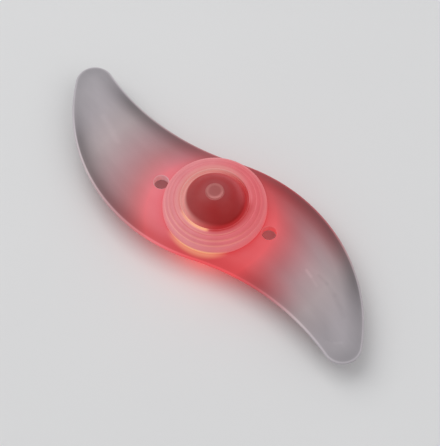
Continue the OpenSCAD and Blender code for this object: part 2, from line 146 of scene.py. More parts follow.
# The photograph's viewing angle and frame
IMAGE_SIZE = (440, 446)
FOCAL_PX = 2356.0
SENSOR = 36.0
DISTANCE = 721.0
ELEVATION = math.radians(62.5)
AZIMUTH = math.radians(50.1)
HUB_PX = (214.9, 211.1)
TARGET = Vector((0, 0, 8.1))
RIGHT = Vector((math.cos(AZIMUTH), math.sin(AZIMUTH), 0))
AWAY = Vector((-math.sin(AZIMUTH), math.cos(AZIMUTH), 0))
FORWARD = math.cos(ELEVATION) * AWAY - math.sin(ELEVATION) * UP
DOWN = -math.sin(ELEVATION) * AWAY - math.cos(ELEVATION) * UP

# How finely the pieces are drawn
LATHE_STEPS = 180
HOLE_STEPS = 64
EDGE_STEPS = 72
TIP_STEPS = 28
ROLL_STEPS = 16
CROSS_STEPS = 12
FILLET_STEPS = 5
RING_STEPS = 20
DOME_STEPS = 40
THREAD_STEPS = 144
QUARTER_TURN = [math.pi / 2 * k / FILLET_STEPS for k in range(FILLET_STEPS + 1)]
SHARP_ANGLE = math.radians(32)
WELD = 0.004
# How far a cutter reaches past what it cuts
OVER = 2.0
# Keeps a share from being divided by nothing
TINY = 0.001


def polar(radius, angle):
    """The point at a radius and an angle round the origin."""
    return radius * Vector((math.cos(angle), math.sin(angle)))


def heading(v):
    """The angle of a direction in plan."""
    return math.atan2(v.y, v.x)


def smooth(t):
    """A soft step from 0 to 1."""
    t = min(max(t, 0.0), 1.0)
    return t * t * (3 - 2 * t)


def mesh_piece(name, points, faces):
    """A mesh object from points in millimetres, with its faces turned outwards."""
    mesh = bpy.data.meshes.new(name)
    mesh.from_pydata([Vector(p) * MM for p in points], [], faces)
    sheet = bmesh.new()
    sheet.from_mesh(mesh)
    bmesh.ops.recalc_face_normals(sheet, faces=sheet.faces)
    sheet.to_mesh(mesh)
    sheet.free()
    piece = bpy.data.objects.new(name, mesh)
    bpy.context.scene.collection.objects.link(piece)
    return piece


def soften(piece):
    """Shades a piece smooth, with its corners kept sharp."""
    piece.data.shade_smooth()
    piece.data.set_sharp_from_angle(angle=SHARP_ANGLE)


def combine(piece, tool, operation):
    """Joins a tool to a piece, or cuts it out, removes the tool and welds the slivers that this leaves."""
    step = piece.modifiers.new("combine", "BOOLEAN")
    step.operation = operation
    step.solver = "EXACT"
    step.object = tool
    depsgraph = bpy.context.evaluated_depsgraph_get()
    old = piece.data
    piece.data = bpy.data.meshes.new_from_object(piece.evaluated_get(depsgraph))
    piece.modifiers.clear()
    name = old.name
    bpy.data.meshes.remove(old)
    piece.data.name = name
    bpy.data.objects.remove(tool)
    sheet = bmesh.new()
    sheet.from_mesh(piece.data)
    bmesh.ops.remove_doubles(sheet, verts=sheet.verts, dist=WELD * MM)
    bmesh.ops.dissolve_degenerate(sheet, edges=sheet.edges, dist=WELD * MM)
    sheet.to_mesh(piece.data)
    sheet.free()


def rounded(corners):
    """The points of a closed outline whose corners (r, z, fillet) are drawn as arcs."""
    points = []
    for i, (r, z, fillet) in enumerate(corners):
        corner = Vector((r, z))
        if fillet == 0:
            points.append(corner)
            continue
        before = (Vector(corners[i - 1][:2]) - corner).normalized()
        after = (Vector(corners[(i + 1) % len(corners)][:2]) - corner).normalized()
        half = before.angle(after) / 2
        middle = corner + (before + after).normalized() * fillet / math.sin(half)
        start = corner + before * fillet / math.tan(half) - middle
        end = corner + after * fillet / math.tan(half) - middle
        points += [middle + fillet * start.slerp(end, k / FILLET_STEPS) for k in range(FILLET_STEPS + 1)]
    return points


def lathe(name, outline, steps=LATHE_STEPS):
    """A closed outline of (r, z) points, turned round the axis. Points on the axis become poles."""
    points = []
    rings = []
    for r, z in outline:
        count = 1 if r == 0 else steps
        rings.append([len(points) + k for k in range(count)])
        for k in range(count):
            side = polar(r, 2 * math.pi * k / steps)
            points.append((side.x, side.y, z))
    faces = []
    for i, ring in enumerate(rings):
        following = rings[(i + 1) % len(rings)]
        if len(ring) == 1 and len(following) == 1:
            continue
        for k in range(steps):
            after = (k + 1) % steps
            corners = [ring[k % len(ring)], following[k % len(following)],
                       following[after % len(following)], ring[after % len(ring)]]
            faces.append(list(dict.fromkeys(corners)))
    return mesh_piece(name, points, faces)


def block(name, size, centre, turn):
    """A box that is turned round the axis after it is put in place."""
    corners = [Vector((x, y, z)) for x in (-0.5, 0.5) for y in (-0.5, 0.5) for z in (-0.5, 0.5)]
    spin = Matrix.Rotation(turn, 3, "Z")
    points = [spin @ (centre + Vector(a * b for a, b in zip(size, c))) for c in corners]
    faces = [(0, 1, 3, 2), (4, 6, 7, 5), (0, 4, 5, 1), (2, 3, 7, 6), (0, 2, 6, 4), (1, 5, 7, 3)]
    return mesh_piece(name, points, faces)


def keys(name, play):
    """The two blocks under the lamp's flange that keep it from turning, with room round them."""
    size = KEY_SIZE + 2 * play * Vector((1, 1, 1))
    centre = Vector((KEY_OUT_R - KEY_SIZE.x / 2, 0, SEAT_Z - KEY_SIZE.z / 2 + play))
    return [block(name, size, centre, turn) for turn in (math.pi / 2, -math.pi / 2)]


def thread(name, foot_r, crest_r, start):
    """A ridge that climbs round the axis, and rises out of the wall and sinks back into it at its ends."""
    inwards = 1 if crest_r < foot_r else -1
    root = foot_r + inwards * THREAD_SINK
    foot_half = THREAD_FOOT_SHARE * THREAD_PITCH
    slope = (THREAD_FOOT_SHARE - THREAD_CREST_SHARE) * THREAD_PITCH
    root_half = foot_half + slope * THREAD_SINK / THREAD_DEPTH
    from_angle, from_z = start
    points = []
    for i in range(THREAD_STEPS + 1):
        share = i / THREAD_STEPS
        rise = smooth(min(share, 1 - share) / THREAD_RUN_OUT_SHARE)
        angle = from_angle + 2 * math.pi * THREAD_TURNS * share
        z = from_z + THREAD_PITCH * angle / (2 * math.pi)
        crest = foot_r + (crest_r - foot_r) * rise
        crest_half = foot_half - slope * rise
        for r, dz in ((root, -root_half), (crest, -crest_half), (crest, crest_half), (root, root_half)):
            side = polar(r, angle)
            points.append((side.x, side.y, z + dz))
    faces = [(0, 1, 2, 3), tuple(4 * THREAD_STEPS + j for j in range(4))]
    for i in range(THREAD_STEPS):
        for j in range(4):
            k = (j + 1) % 4
            faces.append((4 * i + j, 4 * i + 4 + j, 4 * i + 4 + k, 4 * i + k))
    return mesh_piece(name, points, faces)


# The leaf's edge is made of arcs that run smoothly into each other


def meet(p, r, q, s):
    """The upper one of the two points that lie r from p and s from q."""
    reach = (q - p).length
    along = (r * r - s * s + reach * reach) / (2 * reach)
    across = math.sqrt(r * r - along * along)
    direction = (q - p) / reach
    foot = p + along * direction
    side = across * Vector((-direction.y, direction.x))
    return foot + side if side.y > 0 else foot - side


TIP_C = Vector((-(LEAF_LENGTH / 2 - TIP_R), 0))
OUTER_C = meet(Vector((0, 0)), OUTER_EDGE_R - WAIST_HALF, TIP_C, OUTER_EDGE_R - TIP_R)
INNER_C = meet(-OUTER_C, OUTER_EDGE_R + INNER_EDGE_R, TIP_C, INNER_EDGE_R + TIP_R)
TIP_FROM = heading(TIP_C - INNER_C)
TIP_TO = heading(OUTER_C - TIP_C)
WAIST_DIR = heading(INNER_C + OUTER_C)
# Half of the edge: centre, radius, first and last angle, steps, and 1 where it curves outwards
HALF_EDGE = (
    (-TIP_C, TIP_R, TIP_FROM, TIP_TO, TIP_STEPS, 1),
    (-OUTER_C, OUTER_EDGE_R, TIP_TO, WAIST_DIR, EDGE_STEPS, 1),
    (INNER_C, INNER_EDGE_R, WAIST_DIR - math.pi, TIP_FROM, EDGE_STEPS, -1),
)
HALF_COUNT = TIP_STEPS + 2 * EDGE_STEPS
LOOP_COUNT = 2 * HALF_COUNT


def edge_loop(inset):
    """The points of the leaf's edge, moved inwards."""
    half = []
    for centre, radius, first, last, steps, bulge in HALF_EDGE:
        for i in range(steps):
            half.append(centre + polar(radius - bulge * inset, first + (last - first) * i / steps))
    return half + [-p for p in half]


def half_edge_distance(point):
    """How far a point in plan lies inside the half of the edge that holds the +X tip and the far side."""
    nearest = LEAF_LENGTH
    for centre, radius, first, last, _, bulge in HALF_EDGE:
        spread = (last - first) / 2
        turned = heading(point - centre) - (first + last) / 2
        turned = (turned + math.pi) % (2 * math.pi) - math.pi
        if abs(turned) <= abs(spread):
            nearest = min(nearest, bulge * (radius - (point - centre).length))
    return max(nearest, 0.0)


def leaf_lift(x, inset):
    """How far the leaf stands above its brim, at x along it and an inset from its edge."""
    t = (inset - BRIM_W) / ROLL_W
    t = min((t + math.hypot(t, ROLL_CREASE)) / 2, 1.0)
    middle_h = TIP_CROWN_H + (CROWN_H - TIP_CROWN_H) * (1 - (2 * x / LEAF_LENGTH) ** 2)
    return (middle_h - LEAF_WALL) * (1 - (1 - t) ** 2)


def crowned_leaf():
    """The leaf before its hub is let in: loops that run in from the edge, and rows across the middle."""
    insets = [BRIM_W + ROLL_W * k / ROLL_STEPS for k in range(ROLL_STEPS + 1)]
    rim = [(BRIM_ROUND_R * (1 - math.sin(a)), BRIM_ROUND_R * (1 - math.cos(a))) for a in QUARTER_TURN]
    strip = [(inset, 0.0) for inset in reversed(insets)] + rim
    strip += [(inset, LEAF_WALL - offset) for inset, offset in reversed(strip)]
    points = []
    for inset, offset in strip:
        for p in edge_loop(inset):
            points.append((p.x, p.y, BRIM_Z + leaf_lift(p.x, inset) + offset))
    faces = []
    for i in range(len(strip) - 1):
        for j in range(LOOP_COUNT):
            k = (j + 1) % LOOP_COUNT
            low, high = i * LOOP_COUNT, (i + 1) * LOOP_COUNT
            faces.append((low + j, low + k, high + k, high + j))
    for first in (0, (len(strip) - 1) * LOOP_COUNT):
        rows = []
        for k in range(2 * EDGE_STEPS + 1):
            ends = first + TIP_STEPS + k, first + (LOOP_COUNT - k) % LOOP_COUNT
            a, b = Vector(points[ends[0]]), Vector(points[ends[1]])
            rise = ARCH_H * ((b - a).length / (2 * WAIST_HALF)) ** 2
            row = [ends[0]]
            for j in range(1, CROSS_STEPS):
                t = j / CROSS_STEPS
                row.append(len(points))
                points.append(a.lerp(b, t) + 4 * rise * t * (1 - t) * UP)
            rows.append(row + [ends[1]])
        for row, following in zip(rows, rows[1:]):
            for j in range(CROSS_STEPS):
                faces.append((row[j], row[j + 1], following[j + 1], following[j]))
        for row, start in ((rows[0], first), (rows[-1], first + HALF_COUNT)):
            tip = [start + j for j in range(TIP_STEPS + 1)]
            faces.append(tip + (row[1:-1] if row[0] == tip[-1] else row[-2:0:-1]))
    return mesh_piece("leaf", points, faces)


def stub(radius, top_z):
    """The outline of a round stub that starts at the level of the brim, with a soft lower edge."""
    return rounded([(0, BRIM_Z, 0), (radius, BRIM_Z, SOFT), (radius, top_z, 0), (0, top_z, 0)])


def tie_hole(radius):
    """The outline of a tie hole's cutter, which leaves a chamfered lower lip and a rolled upper lip."""
    lip_r = radius + TIE_LIP
    foot = [(0, BRIM_Z - OVER), (lip_r, BRIM_Z - OVER), (lip_r, BRIM_Z), (radius, BRIM_Z + TIE_LIP)]
    lip = [(radius + TIE_LIP * (1 - math.sin(a)), TIE_TOP_Z - TIE_LIP * (1 - math.cos(a)))
           for a in reversed(QUARTER_TURN)]
    return foot + lip + [(lip_r, TIE_TOP_Z + OVER), (0, TIE_TOP_Z + OVER)]


def measure_leaf(leaf):
    """Keeps with each point, for the paint, its distances from the edge and a hole, and its side."""
    places = [v.co.xy / MM for v in leaf.data.vertices]
    far = [half_edge_distance(p) for p in places]
    near = [half_edge_distance(-p) for p in places]
    axes = [Vector(mount["pos_m"][:2]) / MM for mount in TIE_HOLES]
    measures = {
        "edge_mm": [min(pair) for pair in zip(far, near)],
        "side": [(b - a) / (a + b + TINY) for a, b in zip(far, near)],
        "hole_mm": [min((p - axis).length for axis in axes) for p in places],
    }
    for name, values in measures.items():
        leaf.data.attributes.new(name, "FLOAT", "POINT").data.foreach_set("value", values)


def make_leaf():
    """The leaf with the collar and bore that hold the lamp, its tie holes, and slots for the lamp's keys."""
    leaf = crowned_leaf()
    combine(leaf, lathe("collar", stub(HUB_R, SEAT_Z + COLLAR_RISE)), "UNION")
    for mount in TIE_HOLES:
        boss = lathe("boss", stub(TIE_BOSS_R, TIE_BOSS_TOP_Z), HOLE_STEPS)
        boss.location.xy = mount["pos_m"][:2]
        combine(leaf, boss, "UNION")
    bore = [(0, BRIM_Z - OVER), (LEAF_BORE_R, BRIM_Z - OVER), (LEAF_BORE_R, SEAT_Z),
            (SEAT_R, SEAT_Z), (SEAT_R, SEAT_Z + OVER), (0, SEAT_Z + OVER)]
    combine(leaf, lathe("bore", bore), "DIFFERENCE")
    for mount in TIE_HOLES:
        hole = lathe("hole", tie_hole(mount["dims"]["r_mm"]), HOLE_STEPS)
        hole.location.xy = mount["pos_m"][:2]
        combine(leaf, hole, "DIFFERENCE")
    for slot in keys("slot", KEY_PLAY):
        combine(leaf, slot, "DIFFERENCE")
    soften(leaf)
    measure_leaf(leaf)
    return leaf


def make_base():
    """The cup with its flange and threaded neck, a groove for the clip, and the keys."""
    outline = rounded([
        (0, 0, 0), (BASE_R - FOOT_CHAMFER, 0, SOFT), (BASE_R, FOOT_CHAMFER, SOFT),
        (BASE_R, CLIP_LOW_Z, 0), (CLIP_GROOVE_R, CLIP_LOW_Z, 0),
        (CLIP_GROOVE_R, CLIP_HIGH_Z, 0), (BASE_R, CLIP_HIGH_Z, 0),
        (BASE_R, SEAT_Z, 0), (HUB_R, SEAT_Z, MOULDED), (HUB_R, FLANGE_TOP_Z, SOFT),
        (NECK_R, FLANGE_TOP_Z, 0), (NECK_R, NECK_TOP_Z, FINE), (BASE_IN_R, NECK_TOP_Z, FINE),
        (BASE_IN_R, FLOOR_Z, CRISP), (0, FLOOR_Z, 0),
    ])
    base = lathe("base", outline)
    combine(base, thread("ridge", NECK_R, NECK_R + THREAD_DEPTH, NECK_THREAD), "UNION")
    for key in keys("key", 0):
        combine(base, key, "UNION")
    soften(base)
    return base


def make_cap():
    """The cap's outside is a quarter of an ellipse with grooves between its rings."""
    shoulder_w = HUB_R - CAP_TOP_R
    cap_h = CAP_TOP_Z - FLANGE_TOP_Z
    outside = []
    for ring in range(RING_COUNT):
        for i in range(RING_STEPS):
            share = i / RING_STEPS
            angle = RING_FROM + RING_SPAN * (ring + share)
            depth = RING_GROOVE * (1 - math.sin(math.pi * share)) ** 2
            if ring == 0 and share < 0.5:
                depth = 0
            at = Vector((CAP_TOP_R + shoulder_w * math.cos(angle), FLANGE_TOP_Z + cap_h * math.sin(angle)))
            point = at - polar(depth, angle)
            outside.append((point.x, point.y, 0))
    inside = [
        (CAP_TOP_R, CAP_TOP_Z, 0), (OPENING_R, CAP_TOP_Z, SOFT), (OPENING_R, ROOF_Z, FINE),
        (POCKET_R, ROOF_Z, 0), (POCKET_R, NECK_TOP_Z, 0), (CAP_BORE_R, NECK_TOP_Z, 0),
        (CAP_BORE_R, FLANGE_TOP_Z, EASED),
    ]
    cap = lathe("cap", rounded([(HUB_R, FLANGE_TOP_Z, EASED)] + outside + inside))
    combine(cap, thread("ridge", CAP_BORE_R, CAP_BORE_R - THREAD_DEPTH, CAP_THREAD), "UNION")
    soften(cap)
    return cap


def sphere_arc(radius, from_r, to_r):
    """Corners along the dome's outer or inner sphere, from one distance from the axis to another."""
    centre_z = DOME_TOP_Z - DOME_SPHERE_R
    first, last = math.asin(from_r / radius), math.asin(to_r / radius)
    angles = [first + (last - first) * k / DOME_STEPS for k in range(DOME_STEPS + 1)]
    return [(radius * math.sin(a), centre_z + radius * math.cos(a), 0) for a in angles]


def make_dome():
    """The dome on its flange, with the pad on top and the pusher post under it."""
    inner_r = DOME_R - DOME_WALL
    low_z = BUTTON_TOP_Z - BUTTON_FLANGE_T
    outline = rounded(
        [(0, PAD_TOP_Z, 0), (POST_R, PAD_TOP_Z, MOULDED)] + sphere_arc(DOME_SPHERE_R, POST_R, DOME_R)
        + [(BUTTON_FLANGE_R, BUTTON_TOP_Z, CRISP), (BUTTON_FLANGE_R, low_z, CRISP), (inner_r, low_z, CRISP)]
        + sphere_arc(DOME_SPHERE_R - DOME_WALL, inner_r, POST_R) + [(POST_R, POST_Z, SOFT), (0, POST_Z, 0)]
    )
    dome = lathe("dome", outline)
    soften(dome)
    return dome


# Where a colour mix has its factor, its two colours and its result
MIX_FACTOR, MIX_A, MIX_B, MIX_RESULT = 0, 6, 7, 2
# What most of a noise lies between
NOISE_LOW, NOISE_HIGH = 0.3, 0.7


class Paint:
    """A node material that is built up round its shader. Its places and sizes are in millimetres."""

    def __init__(self, name):
        self.material = bpy.data.materials.new(name)
        self.material.use_nodes = True
        self.nodes = self.material.node_tree.nodes
        self.links = self.material.node_tree.links
        self.nodes.clear()
        self.shader = self.node("ShaderNodeBsdfPrincipled")
        output = self.node("ShaderNodeOutputMaterial")
        self.links.new(self.shader.outputs["BSDF"], output.inputs["Surface"])
        metres = self.node("ShaderNodeTexCoord").outputs["Object"]
        self.place = self.scaled(metres, 1 / MM)

    def node(self, kind, inputs=None, **settings):
        """A node with settings, and with values or other nodes' outputs for its inputs."""
        made = self.nodes.new(kind)
        for key, value in settings.items():
            setattr(made, key, value)
        for key, value in (inputs or {}).items():
            self.feed(made.inputs[key], value)
        return made

    def feed(self, socket, value):
        """Links an output to a socket, or sets the socket's own value."""
        if isinstance(value, bpy.types.NodeSocket):
            self.links.new(value, socket)
        elif socket.type == "RGBA":
            socket.default_value = (*value, 1)
        else:
            socket.default_value = value

    def set(self, **values):
        """Sets the shader's sockets, whose names have _ for each space."""
        for key, value in values.items():
            self.feed(self.shader.inputs[key.replace("_", " ")], value)

    def glow(self, light):
        """Lets the surface shine with a colour."""
        self.set(Emission_Color=light, Emission_Strength=1.0)

    def bump(self, height, depth, strength):
        """Raises the surface by a height from 0 to 1, times a depth."""
        inputs = {"Height": height, "Distance": depth * MM, "Strength": strength}
        self.set(Normal=self.node("ShaderNodeBump", inputs).outputs["Normal"])

    def math(self, operation, a, b=0.0):
        """A sum with numbers."""
        return self.node("ShaderNodeMath", {0: a, 1: b}, operation=operation).outputs["Value"]

    def both(self, a, b):
        """Where two masks overlap."""
        return self.math("MULTIPLY", a, b)

    def vector(self, operation, a, b=(0, 0, 0)):
        """A sum with vectors, which gives a number for a distance or a dot product."""
        made = self.node("ShaderNodeVectorMath", {0: a, 1: b}, operation=operation)
        return made.outputs["Value" if operation in ("DISTANCE", "DOT_PRODUCT") else "Vector"]

    def scaled(self, a, by):
        """A vector times a number."""
        return self.node("ShaderNodeVectorMath", {0: a, "Scale": by}, operation="SCALE").outputs["Vector"]

    def mix(self, factor, a, b, blend="MIX"):
        """A colour that goes from one to another as a mask says."""
        made = self.node("ShaderNodeMix", data_type="RGBA", blend_type=blend)
        for index, value in ((MIX_FACTOR, factor), (MIX_A, a), (MIX_B, b)):
            self.feed(made.inputs[index], value)
        return made.outputs[MIX_RESULT]

    def times(self, colour, by, mask=1.0):
        """A colour multiplied by another one, or by a number, as far as a mask says."""
        return self.mix(mask, colour, by, "MULTIPLY")

    def span(self, value, start, full, low=0.0, high=1.0, step="LINEAR"):
        """A step from low, where a value is at its start, to high, where it is full."""
        inputs = {"Value": value, "From Min": start, "From Max": full, "To Min": low, "To Max": high}
        return self.node("ShaderNodeMapRange", inputs, interpolation_type=step).outputs["Result"]

    def fade(self, value, start, full, low=0.0, high=1.0):
        """The same step with soft ends."""
        return self.span(value, start, full, low, high, "SMOOTHSTEP")

    def ramp(self, value, stops):
        """The colour for a value, from stops of (value, colour)."""
        low, high = stops[0][0], stops[-1][0]
        made = self.node("ShaderNodeValToRGB", {"Fac": self.span(value, low, high)})
        elements = made.color_ramp.elements
        elements.remove(elements[-1])
        for i, (at, colour) in enumerate(stops):
            position = (at - low) / (high - low)
            element = elements.new(position) if i else elements[0]
            element.position = position
            element.color = (*colour, 1)
        return made.outputs["Color"]

    def noise(self, size, detail=3.0, stretch=(1, 1, 1)):
        """Noise with features of a size."""
        where = self.vector("MULTIPLY", self.place, stretch)
        inputs = {"Vector": where, "Scale": 1 / size, "Detail": detail}
        return self.node("ShaderNodeTexNoise", inputs).outputs["Fac"]

    def spread(self, noise, low, high):
        """A noise spread between two values."""
        return self.span(noise, NOISE_LOW, NOISE_HIGH, low, high)

    def cloud(self, colour, noise, vary):
        """A colour that is darker and lighter with a noise."""
        return self.times(colour, self.spread(noise, 1 - vary, 1 + vary))

    def attribute(self, name):
        """A measure that is kept with the points of the mesh."""
        return self.node("ShaderNodeAttribute", attribute_name=name).outputs["Fac"]

    def part(self, axis):
        """The place along an axis."""
        return self.node("ShaderNodeSeparateXYZ", {0: self.place}).outputs[axis]

    def flat(self):
        """The place in plan."""
        return self.vector("MULTIPLY", self.place, (1, 1, 0))

    def plan_distance(self, centre=(0, 0, 0)):
        """The distance in plan from a point, or from the axis."""
        return self.vector("DISTANCE", self.flat(), centre)

    def line_distance(self, start, end):
        """The distance in plan from a straight line between two points."""
        start = Vector(start).to_3d()
        run = Vector(end).to_3d() - start
        offset = self.vector("SUBTRACT", self.flat(), start)
        along = self.span(self.vector("DOT_PRODUCT", offset, run), 0, run.length_squared)
        return self.vector("DISTANCE", offset, self.scaled(run, along))

    def toward(self, degrees):
        """How far a place lies towards an angle in plan."""
        return self.vector("DOT_PRODUCT", self.place, bearing(degrees))

    def sector(self, degrees, full, none, low=0.0, high=1.0, step="SMOOTHSTEP"):
        """A step round the axis: high within one angle of a direction, and low beyond another."""
        cosine = self.vector("DOT_PRODUCT", self.vector("NORMALIZE", self.flat()), bearing(degrees))
        start, end = math.cos(math.radians(none)), math.cos(math.radians(full))
        return self.span(cosine, start, end, low, high, step)


def bearing(degrees):
    """The direction in plan at an angle from +X, anticlockwise."""
    return polar(1, math.radians(degrees)).to_3d()


def grey(level):
    """A grey of a level."""
    return (level, level, level)


# In the paints' values, a pair of places is where a mask starts and where it is full, in millimetres
# unless a comment says otherwise. A pair of levels is what a value goes from and to. A sector is an
# angle in degrees, with the angles from it where its mask is full and where it has ended. A lone side
# is such an angle. A pair for the leaf's sides runs from -1 at the near edge to 1 at the far edge.

# The frosted mould that the leaf, the base and the cap share
FROST_GRAIN = 0.35
FROST_DETAIL = 4.0
FROST_DEPTH = 0.03
FROST_WANDER = 6.0
FROST_VARY = 0.06
GRAIN_STRENGTH = 0.6

# The side of the LED that shines through the cap, and what it lights
LED_SIDE = 296
HOT_YELLOW = (0.62, 0.30, 0.11)
GLOW_CENTRE = (1.5, -3.0, 0.0)
GLOW_RED = (1.0, 0.07, 0.08)
GLOW_SHELL = (0.34, 0.035, 0.042)
GLOW_FLANK = (0.42, 0.10, 0.107)
NO_LIGHT = (0, 0, 0)


def frost(paint, low, high):
    """The grain of a frosted mould: a fine bump, and a roughness that wanders."""
    paint.set(Roughness=paint.spread(paint.noise(FROST_WANDER), low, high))
    paint.bump(paint.noise(FROST_GRAIN, FROST_DETAIL), FROST_DEPTH, GRAIN_STRENGTH)


# Leaf: its colour by the distance from the centre of the glow, its own pale tint far out and painted red LED
# light near the lamp, and its painted shade by the distance from the edge
LEAF_GLOW_TINTS = (
    (15, (0.27, 0.085, 0.095)), (20, (0.29, 0.118, 0.128)), (27, (0.335, 0.197, 0.21)),
    (33, (0.41, 0.28, 0.295)), (42, (0.485, 0.405, 0.412)), (52, (0.45, 0.403, 0.425)),
    (64, (0.41, 0.38, 0.40)),
)
LEAF_SHADES = (
    (0, grey(0.44)), (1.6, grey(0.44)), (2.6, grey(0.53)), (4, grey(0.68)), (6, grey(0.86)),
    (9, grey(0.95)), (13, grey(1.0)),
)
LEAF_ROUGHNESS = (0.42, 0.56)
# The shade is weaker at the tips and on the near side, where the measure of the side is below 0
TIP_RUN = (44, 60)
NEAR_SIDE = (0, -0.8)
NEAR_RUN = (8, 30)
SHADE_LOSS = 0.75
# The rim's painted highlight is brightest on the near side, and alike on both sides at the tips, where they
# meet
RIM_HIGHLIGHT = (0.75, 0.4)
RIM_HIGHLIGHT_SIDES = (-0.9, 0.9)
RIM_HIGHLIGHT_LEVELS = (1.4, 1.1)
RIM_HIGHLIGHT_TIP_SHARE = 0.75
# Paler and darker streaks on the leaf: from, to, width and how much paler
LEAF_STREAKS = (
    ((34.1, 7.5), (36.6, 7.1), 0.8, 0.17), ((37.6, 6.9), (39.8, 6.5), 0.8, 0.08),
    ((37.8, 9.2), (41.4, 9.3), 1.0, -0.08), ((41.4, 9.3), (45.8, 8.5), 1.2, -0.06),
    ((45.8, 8.5), (52.7, 6.0), 1.4, -0.05), ((57.4, -1.7), (58.7, -0.1), 0.8, 0.07),
    ((-47.0, -6.0), (-37.2, -8.2), 1.8, 0.07),
)
FLOW_SIZE = 7.0
FLOW_STRETCH = (0.22, 1, 1)
# Walls of the tie holes: a tint painted lighter against the shade in them, and their glow
HOLE_WALL = (2.55, 2.35)
HOLE_LIGHTENED_TINT = (0.60, 0.32, 0.325)
HOLE_GLOW = (0.23, 0.085, 0.08)
HOLE_DEEP_GLOW = (0.32, 0.03, 0.032)
# A deeper red on one side of the lamp: painted red LED light and painted shade of the hub
DEEP_SIDE = 40
DEEP_RISE = (-4.8, 12.8)
DEEP_REACH = (36, 20)
DEEP_RED_LIGHT_AND_SHADE = (0.95, 0.55, 0.58)
# A red band of painted LED light along the edge, from beside the lamp to where it ends along the leaf
BAND_WIDTH = (9, 2)
BAND_START = (-3, 8)
BAND_END = (46, 26)
BAND_RED_LIGHT = (1.08, 0.48, 0.50)
# A pinker patch beside the lamp, painted where less of the LED's red glare falls
PINK_REACH = (25, 17)
PINK_SECTOR = (220, 25.8, 84.3)
PINK_AWAY_FROM_GLARE = (1.0, 1.4, 1.55)
# The glow falls off with the distance from its centre, by powers of e, and is weaker on the far side
FALL_RUN = (20, 85)
FALL_POWERS = (0, -10)
GLOW_SIDES = (0.1, 0.9)
GLOW_LEVELS = (0.50, 0.27)
# Warm light that leaks out at the lamp's foot
LEAK_REACH = (HUB_R + 1.5, HUB_R - 0.1)
LEAK_SECTOR = (LED_SIDE, 11.5, 41.4)
LEAK_WARM = (0.68, 0.22, 0.13)


def edge_shade_and_rim_highlight(paint, tint, along, side, edge):
    """The leaf's tint with painted shade just inside its edge and a painted highlight on its rim."""
    at_tip = paint.fade(paint.math("ABSOLUTE", along), *TIP_RUN)
    near = paint.both(paint.fade(side, *NEAR_SIDE), paint.span(along, *NEAR_RUN))
    weaker = paint.both(paint.math("MAXIMUM", at_tip, near), SHADE_LOSS)
    shaded = paint.mix(weaker, paint.times(tint, paint.ramp(edge, LEAF_SHADES)), tint)
    rim_highlight_side = paint.both(side, paint.span(at_tip, 0, RIM_HIGHLIGHT_TIP_SHARE, 1, 0))
    rim_highlight_level = paint.span(rim_highlight_side, *RIM_HIGHLIGHT_SIDES, *RIM_HIGHLIGHT_LEVELS)
    return paint.mix(paint.span(edge, *RIM_HIGHLIGHT), shaded, paint.times(tint, rim_highlight_level))


def leaf_paint():
    """Frosted and pale, with painted shade just inside a painted highlight on its rim, and painted red LED
    light near the lamp.
    """
    paint = Paint("frosted_leaf")
    along = paint.part("X")
    side = paint.attribute("side")
    edge = paint.attribute("edge_mm")
    in_hole = paint.span(paint.attribute("hole_mm"), *HOLE_WALL)
    from_axis = paint.plan_distance()
    from_lamp = paint.plan_distance(GLOW_CENTRE)
    colour = edge_shade_and_rim_highlight(paint, paint.ramp(from_lamp, LEAF_GLOW_TINTS), along, side, edge)
    # Paler and darker streaks along the leaf
    for start, end, width, gain in LEAF_STREAKS:
        colour = paint.times(colour, paint.fade(paint.line_distance(start, end), width, 0, 1, 1 + gain))
    # The hole walls get a tint painted lighter against the shade in the holes
    colour = paint.mix(in_hole, colour, HOLE_LIGHTENED_TINT)
    # Painted red LED light and painted shade of the hub on one side of the lamp
    red_light_and_shade = paint.both(paint.fade(paint.toward(DEEP_SIDE), *DEEP_RISE), paint.fade(from_lamp, *DEEP_REACH))
    colour = paint.times(colour, DEEP_RED_LIGHT_AND_SHADE, red_light_and_shade)
    # A band of painted red LED light along the edge
    band_run = paint.both(paint.span(along, *BAND_START), paint.fade(along, *BAND_END))
    colour = paint.times(colour, BAND_RED_LIGHT, paint.both(paint.fade(edge, *BAND_WIDTH), band_run))
    # A pinker patch, painted where less of the LED's red light falls
    away_from_glare = paint.both(paint.fade(from_axis, *PINK_REACH), paint.sector(*PINK_SECTOR))
    colour = paint.times(colour, PINK_AWAY_FROM_GLARE, away_from_glare)
    paint.set(Base_Color=paint.cloud(colour, paint.noise(FLOW_SIZE, stretch=FLOW_STRETCH), FROST_VARY))
    fall = paint.math("EXPONENT", paint.span(from_lamp, *FALL_RUN, *FALL_POWERS))
    light = paint.mix(paint.both(fall, paint.fade(side, *GLOW_SIDES, *GLOW_LEVELS)), NO_LIGHT, GLOW_RED)
    leak = paint.both(paint.fade(from_axis, *LEAK_REACH), paint.sector(*LEAK_SECTOR))
    light = paint.mix(leak, light, LEAK_WARM)
    paint.glow(paint.mix(in_hole, light, paint.mix(red_light_and_shade, HOLE_GLOW, HOLE_DEEP_GLOW)))
    frost(paint, *LEAF_ROUGHNESS)
    return paint.material


# Lamp: the colour of its frosted shell with the LED's red light painted in, from its redder side to its
# paler side away from the glare
LAMP_PALE_SIDE = 215
LAMP_GLOW_TINTS = (
    (-14.4, (0.40, 0.085, 0.098)), (-4, (0.40, 0.115, 0.13)), (4, (0.41, 0.18, 0.195)),
    (14.4, (0.41, 0.20, 0.215)),
)
LAMP_CLOUD = 4.0


def lamp_lit_tint(paint):
    """The colour that the cap and the base share, with the LED's red light painted in."""
    tint = paint.ramp(paint.toward(LAMP_PALE_SIDE), LAMP_GLOW_TINTS)
    return paint.cloud(tint, paint.noise(LAMP_CLOUD), FROST_VARY)


